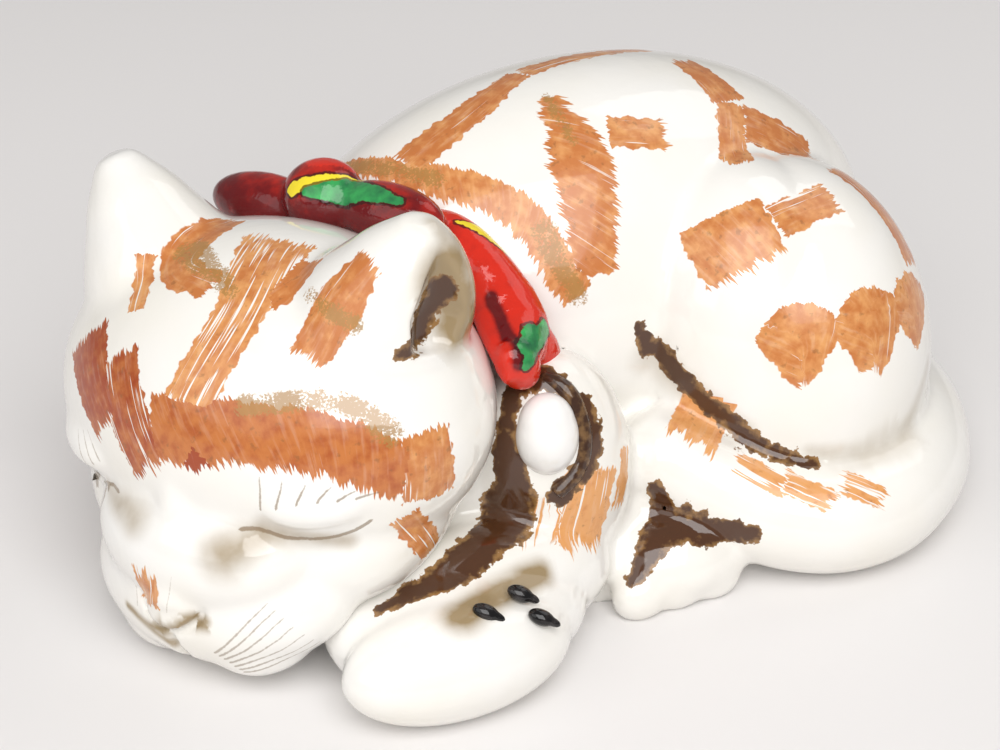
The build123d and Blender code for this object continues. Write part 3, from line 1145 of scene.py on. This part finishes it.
class Ribbon:
    """The red ribbon round the neck."""

    def __init__(self, plan: RibbonPlan, seat: Matrix) -> None:
        """Keeps the plan and the head's seat."""
        self.plan = plan
        self.seat = seat

    def build(self) -> dict[str, bpy.types.Object]:
        """Fuses the ribbon, presses its folds in and parts it into its pieces.

        Returns:
            The pieces by CAD node.
        """
        plan = self.plan
        shapes = [
            plan.band, plan.under_fold, plan.far_band, plan.knot, plan.right_loop, plan.left_loop,
            plan.rear_end, plan.front_end,
        ]
        lump = fuse([shape.model(self.seat) for shape in shapes], "ribbon_clay", plan.grain, plan.smoothing)
        carve(lump, [pinch.model(self.seat) for pinch in plan.pinches])
        lump = fuse([lump], "ribbon_clay", plan.grain, plan.smoothing)
        Painter(lump, self.seat).lay(ribbon_marks())
        return part_by_nodes(lump, plan.nodes)


@dataclass(frozen=True)
class Trinket:
    """A small raised piece made of balls and rolls of clay, in the layout's seat."""

    node: str
    shapes: tuple[Ball | Roll, ...]
    grain: float
    smoothing: int

    def build(self, seat: Matrix) -> bpy.types.Object:
        """Models and fuses the piece."""
        clay = [shape.model(seat) for shape in self.shapes]
        return fuse(clay, self.node + "_skin", self.grain, self.smoothing)


BELL = Trinket(
    "bell",
    (Ball((-10.5, -50, 54.4), (7.8, 7.8, 10.4)), Ball((-10.5, -49.7, 57), (7.2, 7.2, 9))),
    grain=0.6,
    smoothing=4,
)
CORD = Trinket(
    "bell_cord",
    (
        Roll(
            (
                (-8, -41, 66), (-4, -46, 64), (-2, -49.5, 58), (-2, -52.5, 51), (-5, -54.5, 45),
                (-11, -56, 41),
            ),
            (1.8, 2.4, 2.6, 2.5, 2.5, 2.0),
        ),
    ),
    grain=0.5,
    smoothing=3,
)
CLAWS = Trinket(
    "paw_claws",
    tuple(
        shape
        for x, y, z in ((-39, -75.6, 27.4), (-28.5, -72.8, 27.6), (-26, -79.4, 24.2))
        for shape in (
            Ball((x, y, z), (3.4, 2.2, 1.9), (0, 20, -35)),
            Ball((x + 2.1, y - 1.5, z - 0.9), (2.4, 1.2, 1.1), (0, 24, -38)),
        )
    ),
    grain=0.35,
    smoothing=3,
)


# ---- Finishes -----------------------------------------------------------------------------------
def tint(red: float, green: float, blue: float) -> tuple[float, float, float, float]:
    """A colour as it looks, of 0 to 255 in each channel, as the linear colour that shaders take.

    Args:
        red: Red, 0 to 255.
        green: Green, 0 to 255.
        blue: Blue, 0 to 255.

    Returns:
        The linear colour and an alpha of 1.
    """
    channels = []
    for value in (red, green, blue):
        share = value / 255
        channels.append(share / 12.92 if share <= 0.04045 else ((share + 0.055) / 1.055) ** 2.4)
    return (*channels, 1.0)


class Recipe:
    """A material being mixed: it adds shader nodes and joins them, so that a finish reads like a recipe."""

    def __init__(self, name: str) -> None:
        """Starts a new material with its shader.

        Args:
            name: The material's name.
        """
        self.material = bpy.data.materials.new(name)
        self.material.use_nodes = True
        self.tree = self.material.node_tree
        self.shader = self.tree.nodes["Principled BSDF"]

    def node(self, kind: str, settings: dict[str, object], inputs: dict[object, object]) -> bpy.types.Node:
        """Adds a node, with its settings, and its inputs either joined or set.

        Args:
            kind: The node's type.
            settings: Its settings by name.
            inputs: A value or a socket for each input.

        Returns:
            The node.
        """
        node = self.tree.nodes.new(kind)
        for setting, value in settings.items():
            setattr(node, setting, value)
        for socket, value in inputs.items():
            self.feed(node.inputs[socket], value)
        return node

    def feed(self, socket: bpy.types.NodeSocket, value: object) -> None:
        """Joins a socket to another, or sets its value.

        Args:
            socket: The socket.
            value: Another socket, or a value.
        """
        if isinstance(value, bpy.types.NodeSocket):
            self.tree.links.new(value, socket)
        else:
            socket.default_value = value

    def math(
        self, operation: str, first: object, second: object = 0.5, third: object = 0.5
    ) -> bpy.types.NodeSocket:
        """Adds a math node that works the given operation on up to three numbers."""
        inputs = {0: first, 1: second, 2: third}
        return self.node("ShaderNodeMath", {"operation": operation}, inputs).outputs[0]

    def ramp(
        self, value: object, low: float, high: float, start: float = 0.0, end: float = 1.0
    ) -> bpy.types.NodeSocket:
        """Turns the range from low to high smoothly into the range from start to end.

        Args:
            value: The number that is turned.
            low: Where the range starts.
            high: Where the range ends.
            start: What low becomes.
            end: What high becomes.

        Returns:
            The turned number.
        """
        settings = {"interpolation_type": "SMOOTHSTEP"}
        inputs = {"Value": value, "From Min": low, "From Max": high, "To Min": start, "To Max": end}
        return self.node("ShaderNodeMapRange", settings, inputs).outputs[0]

    def noise(self, place: object, scale: float, detail: float = 2.0) -> bpy.types.NodeSocket:
        """Adds a cloudy pattern that runs over almost all of 0 to 1.

        Args:
            place: Where the pattern is read.
            scale: Its cells per millimetre.
            detail: How many finer layers it has.

        Returns:
            The pattern.
        """
        inputs = {"Vector": place, "Scale": scale, "Detail": detail}
        raw = self.node("ShaderNodeTexNoise", {}, inputs).outputs[0]
        spread = {"Value": raw, "From Min": 0.28, "From Max": 0.72}
        return self.node("ShaderNodeMapRange", {}, spread).outputs[0]

    def mix(self, share: object, first: object, second: object) -> bpy.types.NodeSocket:
        """Mixes two colours."""
        node = self.node("ShaderNodeMix", {"data_type": "RGBA"}, {0: share, 6: first, 7: second})
        return node.outputs[2]

    def triple(self, name: str) -> tuple[bpy.types.NodeSocket, bpy.types.NodeSocket, bpy.types.NodeSocket]:
        """Reads one stored triple of the piece and splits it.

        Args:
            name: The stored triple's name.

        Returns:
            Its three numbers.
        """
        stored = self.node("ShaderNodeAttribute", {"attribute_name": name}, {}).outputs["Vector"]
        split = self.node("ShaderNodeSeparateXYZ", {}, {0: stored})
        return split.outputs[0], split.outputs[1], split.outputs[2]

    def combine(self, x: object, y: object, z: object) -> bpy.types.NodeSocket:
        """Makes a place from three numbers."""
        return self.node("ShaderNodeCombineXYZ", {}, {0: x, 1: y, 2: z}).outputs[0]

    def place(self) -> bpy.types.NodeSocket:
        """The place on the piece in millimetres."""
        spot = self.node("ShaderNodeTexCoord", {}, {}).outputs["Object"]
        scaled = self.node("ShaderNodeVectorMath", {"operation": "SCALE"}, {0: spot, "Scale": 1 / MM})
        return scaled.outputs[0]

    def bump(self, height: object, strength: float, distance: float) -> None:
        """Raises the surface by a height given in shares of a distance in millimetres."""
        inputs = {"Height": height, "Strength": strength, "Distance": distance * MM}
        self.feed(self.shader.inputs["Normal"], self.node("ShaderNodeBump", {}, inputs).outputs[0])


@dataclass(frozen=True)
class PaintedGlaze:
    """Clear glaze over white porcelain, with brushwork under it and painted shade in its creases and
    hollows.
    """

    name: str = "painted_glaze"
    white: Triple = (243, 241, 237)
    cream: Triple = (240, 236, 227)
    rust_pale: Triple = (224, 160, 98)
    rust_middle: Triple = (196, 118, 60)
    rust_deep: Triple = (160, 66, 24)
    rust_brown: Triple = (128, 84, 46)
    umber: Triple = (78, 48, 28)
    umber_thin: Triple = (150, 112, 66)
    ochre: Triple = (168, 126, 66)
    # The colour of the painted shade and of the line round the nose.
    olive_and_shade: Triple = (142, 116, 66)
    hair: Triple = (124, 98, 62)
    roughness: float = 0.07
    rust_roughness: float = 0.26

    def mixed(self) -> bpy.types.Material:
        """Mixes the finish.

        Returns:
            The material.
        """
        recipe = Recipe(self.name)
        spot = recipe.place()
        clouds = recipe.noise(spot, 0.035)
        colour = recipe.mix(clouds, tint(*self.white), tint(*self.cream))
        puddle_umber, puddle_ochre, olive_and_shade_density = recipe.triple("puddles_and_shade")
        # Painted shade in the creases and hollows, and the line round the nose, in one greenish brown.
        colour = recipe.mix(self.olive_and_shade_share(recipe, spot, olive_and_shade_density), colour, tint(*self.olive_and_shade))
        rust_share, rust_colour = self.rust(recipe, spot)
        colour = recipe.mix(rust_share, colour, rust_colour)
        colour = recipe.mix(self.ochre_share(recipe, spot, puddle_ochre), colour, tint(*self.ochre))
        colour = recipe.mix(self.hair_share(recipe, spot), colour, tint(*self.hair))
        umber_share, umber_colour = self.umber_layer(recipe, spot, puddle_umber)
        colour = recipe.mix(umber_share, colour, umber_colour)
        recipe.feed(recipe.shader.inputs["Base Color"], colour)
        roughness = recipe.ramp(rust_share, 0, 1, self.roughness, self.rust_roughness)
        recipe.feed(recipe.shader.inputs["Roughness"], roughness)
        height = recipe.math("MULTIPLY_ADD", umber_share, 0.5, recipe.noise(spot, 0.12, 3.0))
        recipe.bump(height, 0.3, 0.25)
        recipe.shader.inputs["Coat Weight"].default_value = 0.35
        recipe.shader.inputs["Coat Roughness"].default_value = 0.04
        return recipe.material

    def rust(self, recipe: Recipe, spot: object) -> tuple[bpy.types.NodeSocket, bpy.types.NodeSocket]:
        """The share and colour of the rust brush strokes.

        Args:
            recipe: The material.
            spot: The place on the piece.

        Returns:
            The share and the colour.
        """
        bristle, over, seed = recipe.triple("stroke_place")
        end, edge, inside = recipe.triple("stroke_edge")
        tone, dryness, _ = recipe.triple("stroke_look")
        long_way = recipe.math("MULTIPLY", bristle, 0.10)
        seed_far = recipe.math("MULTIPLY", seed, 9.0)
        fine = recipe.noise(recipe.combine(over, long_way, seed_far), 1.4, 1.5)
        coarse = recipe.noise(recipe.combine(over, long_way, seed_far), 0.33, 1.0)
        tips = recipe.math("MULTIPLY_ADD", fine, 0.7, recipe.math("MULTIPLY", coarse, 0.4))
        reached = recipe.ramp(recipe.math("SUBTRACT", end, tips), -0.5, -0.36)
        wobble = recipe.noise(recipe.combine(bristle, seed, seed_far), 0.4, 2.0)
        sided = recipe.ramp(recipe.math("MULTIPLY_ADD", wobble, -1.6, edge), -0.8, -0.4)
        streak_way = recipe.math("MULTIPLY", bristle, 0.035)
        streak = recipe.noise(recipe.combine(over, streak_way, seed_far), 1.5, 1.0)
        wet = recipe.math("SUBTRACT", streak, recipe.math("MULTIPLY", dryness, 0.95))
        solid = recipe.ramp(wet, -0.16, -0.02)
        share = recipe.math("MULTIPLY", recipe.math("MULTIPLY", reached, sided), solid)
        mottle = recipe.noise(spot, 0.3, 5.0)
        grain_way = recipe.math("MULTIPLY", bristle, 0.15)
        grain = recipe.noise(recipe.combine(over, grain_way, seed_far), 0.8, 3.0)
        depth = recipe.math("MULTIPLY_ADD", mottle, 0.5, recipe.math("MULTIPLY_ADD", grain, 0.16, tone))
        depth = recipe.math("SUBTRACT", depth, 0.42)
        colour = recipe.mix(recipe.ramp(depth, 0.1, 0.65), tint(*self.rust_pale), tint(*self.rust_middle))
        colour = recipe.mix(recipe.ramp(depth, 0.75, 1.4), colour, tint(*self.rust_deep))
        brown = recipe.ramp(recipe.noise(spot, 0.5, 4.0), 0.7, 1.0, 0.0, 0.45)
        colour = recipe.mix(brown, colour, tint(*self.rust_brown))
        return recipe.math("MULTIPLY", share, recipe.ramp(grain, 0.0, 0.5, 0.92, 1.0)), colour

    def umber_layer(
        self, recipe: Recipe, spot: object, puddle: object
    ) -> tuple[bpy.types.NodeSocket, bpy.types.NodeSocket]:
        """The share and colour of the pooled umber glaze, which is ragged at its edge and thin there.

        Args:
            recipe: The material.
            spot: The place on the piece.
            puddle: How far inside a puddle it lies.

        Returns:
            The share and the colour.
        """
        ragged = recipe.math("MULTIPLY_ADD", recipe.noise(spot, 0.4, 3.0), 2.2, puddle)
        share = recipe.ramp(ragged, 0.8, 1.1)
        depth = recipe.math("MULTIPLY_ADD", recipe.noise(spot, 0.25, 3.0), 2.2, ragged)
        colour = recipe.mix(recipe.ramp(depth, 1.6, 3.6), tint(*self.umber_thin), tint(*self.umber))
        return share, colour

    def ochre_share(self, recipe: Recipe, spot: object, puddle: object) -> bpy.types.NodeSocket:
        """The share of the ochre sponging: fine specks that thin out towards its edge.

        Args:
            recipe: The material.
            spot: The place on the piece.
            puddle: How far inside a puddle it lies.

        Returns:
            The share.
        """
        specks = recipe.noise(spot, 1.6, 3.0)
        reach = recipe.ramp(puddle, -1.5, 4.0)
        patches = recipe.noise(spot, 0.22, 2.0)
        sponged = recipe.math("ADD", specks, recipe.math("MULTIPLY", patches, 0.6))
        strength = recipe.math("MULTIPLY", reach, sponged)
        return recipe.ramp(strength, 0.42, 0.7, 0.0, 0.8)

    def olive_and_shade_share(self, recipe: Recipe, spot: object, puddle: object) -> bpy.types.NodeSocket:
        """The share of the soft greenish-brown colour: painted shade in creases and hollows, and the line
        round the nose.

        Args:
            recipe: The material.
            spot: The place on the piece.
            puddle: How strong the shading is there.

        Returns:
            The share.
        """
        cloudy = recipe.ramp(recipe.noise(spot, 0.15, 3.0), 0.0, 1.0, 0.8, 1.1)
        held = recipe.math("MINIMUM", recipe.math("MAXIMUM", puddle, 0.0), 2.0)
        strength = recipe.math("MULTIPLY", held, recipe.math("MULTIPLY", cloudy, 0.6))
        return recipe.math("MINIMUM", strength, 0.9)

    def hair_share(self, recipe: Recipe, spot: object) -> bpy.types.NodeSocket:
        """The share of the thin drawn lines: lids, brows and whiskers.

        Args:
            recipe: The material.
            spot: The place on the piece.

        Returns:
            The share.
        """
        over, half, tone = recipe.triple("hair_place")
        inside = recipe.math("SUBTRACT", half, recipe.math("ABSOLUTE", over))
        rough = recipe.math("MULTIPLY_ADD", recipe.noise(spot, 1.2, 2.0), -0.2, inside)
        line = recipe.ramp(rough, -0.12, 0.25)
        return recipe.math("MULTIPLY", line, recipe.math("MULTIPLY", tone, 0.85))


@dataclass(frozen=True)
class RibbonEnamel:
    """Thick red enamel with green and yellow leaves, a deeper red on the bow and painted shade in the band's
    fold.
    """

    name: str = "ribbon_enamel"
    red: Triple = (214, 44, 26)
    # The bow's deeper red, which also paints the shade in the band's fold.
    maroon_and_shade: Triple = (104, 14, 18)
    green: Triple = (62, 176, 92)
    green_dark: Triple = (34, 96, 62)
    yellow: Triple = (240, 218, 52)
    outline: Triple = (44, 20, 18)

    def mixed(self) -> bpy.types.Material:
        """Mixes the finish.

        Returns:
            The material.
        """
        recipe = Recipe(self.name)
        spot = recipe.place()
        green, yellow, maroon_and_shade = recipe.triple("enamel_puddles_and_shade")
        # The bow's deeper red and the painted shade in the band's fold darken the red here.
        pooled = recipe.math("MAXIMUM", maroon_and_shade, 0.0)
        depth = recipe.math("MULTIPLY_ADD", recipe.noise(spot, 0.22, 3.0), 0.45, pooled)
        colour = recipe.mix(recipe.ramp(depth, 0.2, 1.1), tint(*self.red), tint(*self.maroon_and_shade))
        leaf = recipe.mix(recipe.noise(spot, 0.2, 3.0), tint(*self.green), tint(*self.green_dark))
        for puddle, paint in ((yellow, tint(*self.yellow)), (green, leaf)):
            ragged = recipe.math("MULTIPLY_ADD", recipe.noise(spot, 0.6, 2.0), 0.7, puddle)
            colour = recipe.mix(recipe.ramp(ragged, -0.5, -0.2, 0.0, 0.8), colour, tint(*self.outline))
            colour = recipe.mix(recipe.ramp(ragged, 0.25, 0.5), colour, paint)
        recipe.feed(recipe.shader.inputs["Base Color"], colour)
        recipe.shader.inputs["Roughness"].default_value = 0.09
        recipe.bump(recipe.noise(spot, 0.3, 3.0), 0.35, 0.3)
        return recipe.material


@dataclass(frozen=True)
class PlainEnamel:
    """A thick glossy enamel of one hue, pooled darker and thinner in places."""

    name: str
    thick: Triple
    thin: Triple
    scale: float = 0.35
    roughness: float = 0.08

    def mixed(self) -> bpy.types.Material:
        """Mixes the finish.

        Returns:
            The material.
        """
        recipe = Recipe(self.name)
        spot = recipe.place()
        pooled = recipe.noise(spot, self.scale, 3.0)
        colour = recipe.mix(recipe.ramp(pooled, 0.35, 0.95), tint(*self.thick), tint(*self.thin))
        recipe.feed(recipe.shader.inputs["Base Color"], colour)
        recipe.shader.inputs["Roughness"].default_value = self.roughness
        recipe.bump(pooled, 0.3, 0.2)
        return recipe.material


@dataclass(frozen=True)
class BareClay:
    """Unglazed porcelain, wiped and fired: matt, faintly sandy and a little stained."""

    name: str = "bare_clay"
    clean: Triple = (232, 226, 214)
    stained: Triple = (206, 190, 166)

    def mixed(self) -> bpy.types.Material:
        """Mixes the finish.

        Returns:
            The material.
        """
        recipe = Recipe(self.name)
        spot = recipe.place()
        colour = recipe.mix(recipe.noise(spot, 0.06, 5.0), tint(*self.clean), tint(*self.stained))
        recipe.feed(recipe.shader.inputs["Base Color"], colour)
        recipe.shader.inputs["Roughness"].default_value = 0.75
        recipe.bump(recipe.noise(spot, 2.5, 3.0), 0.5, 0.15)
        return recipe.material


# ---- Studio -------------------------------------------------------------------------------------
@dataclass(frozen=True)
class Studio:
    """A plain pale floor, soft lights and the camera."""

    target: Triple = (0, 0, 40)
    azimuth: float = -25
    elevation: float = 33
    distance: float = 700
    lens: float = 95.4

    def build(self, seat: Matrix) -> None:
        """Makes the floor, the lights and the camera around the figurine.

        Args:
            seat: The layout's seat.
        """
        self.floor()
        self.light("key", (-0.3, -1.0, 1.25), 1.4, 24.0)
        self.light("fill", (-1.3, -0.3, 0.9), 1.2, 5.0)
        self.light("rim", (0.7, 0.2, 0.9), 0.6, 1.2)
        world = bpy.data.worlds.new("studio")
        bpy.context.scene.world = world
        world.use_nodes = True
        background = world.node_tree.nodes["Background"]
        background.inputs["Color"].default_value = (1.0, 0.98, 0.97, 1)
        background.inputs["Strength"].default_value = 0.3
        self.camera(seat)

    def floor(self) -> None:
        """Adds the floor, which isn't part of the figurine."""
        deselect_all()
        bpy.ops.mesh.primitive_plane_add(size=6.0)
        floor = bpy.context.object
        floor.name = "studio_floor"
        material = bpy.data.materials.new("pale_floor")
        material.use_nodes = True
        shader = material.node_tree.nodes["Principled BSDF"]
        shader.inputs["Base Color"].default_value = (0.8, 0.78, 0.77, 1)
        shader.inputs["Roughness"].default_value = 0.9
        floor.data.materials.append(material)

    def light(self, name: str, place: Triple, size: float, power: float) -> None:
        """Adds one soft square light that looks at the figurine.

        Args:
            name: The light's name.
            place: Where it hangs, in metres.
            size: Its side in metres.
            power: Its power in watts.
        """
        deselect_all()
        bpy.ops.object.light_add(type="AREA", location=place)
        lamp = bpy.context.object
        lamp.name = name
        lamp.data.size = size
        lamp.data.energy = power
        aim = Vector((0, 0, 0.04)) - Vector(place)
        lamp.rotation_euler = aim.to_track_quat("-Z", "Y").to_euler()

    def camera(self, seat: Matrix) -> None:
        """Adds the camera at its viewing angle.

        Args:
            seat: The layout's seat.
        """
        target = seat @ (Vector(self.target) * MM)
        azimuth = math.radians(self.azimuth)
        elevation = math.radians(self.elevation)
        away = Vector(
            (
                math.sin(azimuth) * math.cos(elevation),
                -math.cos(azimuth) * math.cos(elevation),
                math.sin(elevation),
            )
        )
        deselect_all()
        bpy.ops.object.camera_add(location=target + away * self.distance * MM)
        camera = bpy.context.object
        camera.rotation_euler = (-away).to_track_quat("-Z", "Y").to_euler()
        camera.data.lens = self.lens
        camera.data.clip_start = 0.01
        bpy.context.scene.camera = camera
        bpy.context.scene.view_settings.view_transform = "Standard"


def hand_over(piece: bpy.types.Object, node: str, material: bpy.types.Material) -> None:
    """Dresses a finished piece, hangs it on the body and hides its CAD node.

    Args:
        piece: The piece.
        node: The CAD node.
        material: Its finish.
    """
    piece.data.materials.append(material)
    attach(piece, BODY)
    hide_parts(node)
    LOG.info("%s: %d faces", piece.name, len(piece.data.polygons))


def main() -> None:
    """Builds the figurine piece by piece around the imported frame."""
    logging.basicConfig(level=logging.INFO, format="%(message)s")
    seat = layout_seat()
    glaze = PaintedGlaze().mixed()
    head = HeadSkin(HeadPlan(), seat)
    for skin in (BodySkin(BodyPlan(), seat), head):
        for node, piece in skin.build().items():
            hand_over(piece, node, glaze)
    red = RibbonEnamel().mixed()
    for node, piece in Ribbon(RibbonPlan(), head.seat).build().items():
        hand_over(piece, node, red)
    white = PlainEnamel("white_glaze", (243, 241, 238), (236, 232, 224), 0.1).mixed()
    umber = PlainEnamel("umber_enamel", (64, 42, 30), (122, 92, 60)).mixed()
    black = PlainEnamel("black_enamel", (16, 15, 16), (46, 42, 42)).mixed()
    hand_over(BELL.build(seat), "bell", white)
    hand_over(CORD.build(seat), "bell_cord", umber)
    hand_over(CLAWS.build(seat), "paw_claws", black)
    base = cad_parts["base_plate"]
    base.data.materials.clear()
    base.data.materials.append(BareClay().mixed())
    Studio().build(seat)


if __name__ == "__main__":
    main()
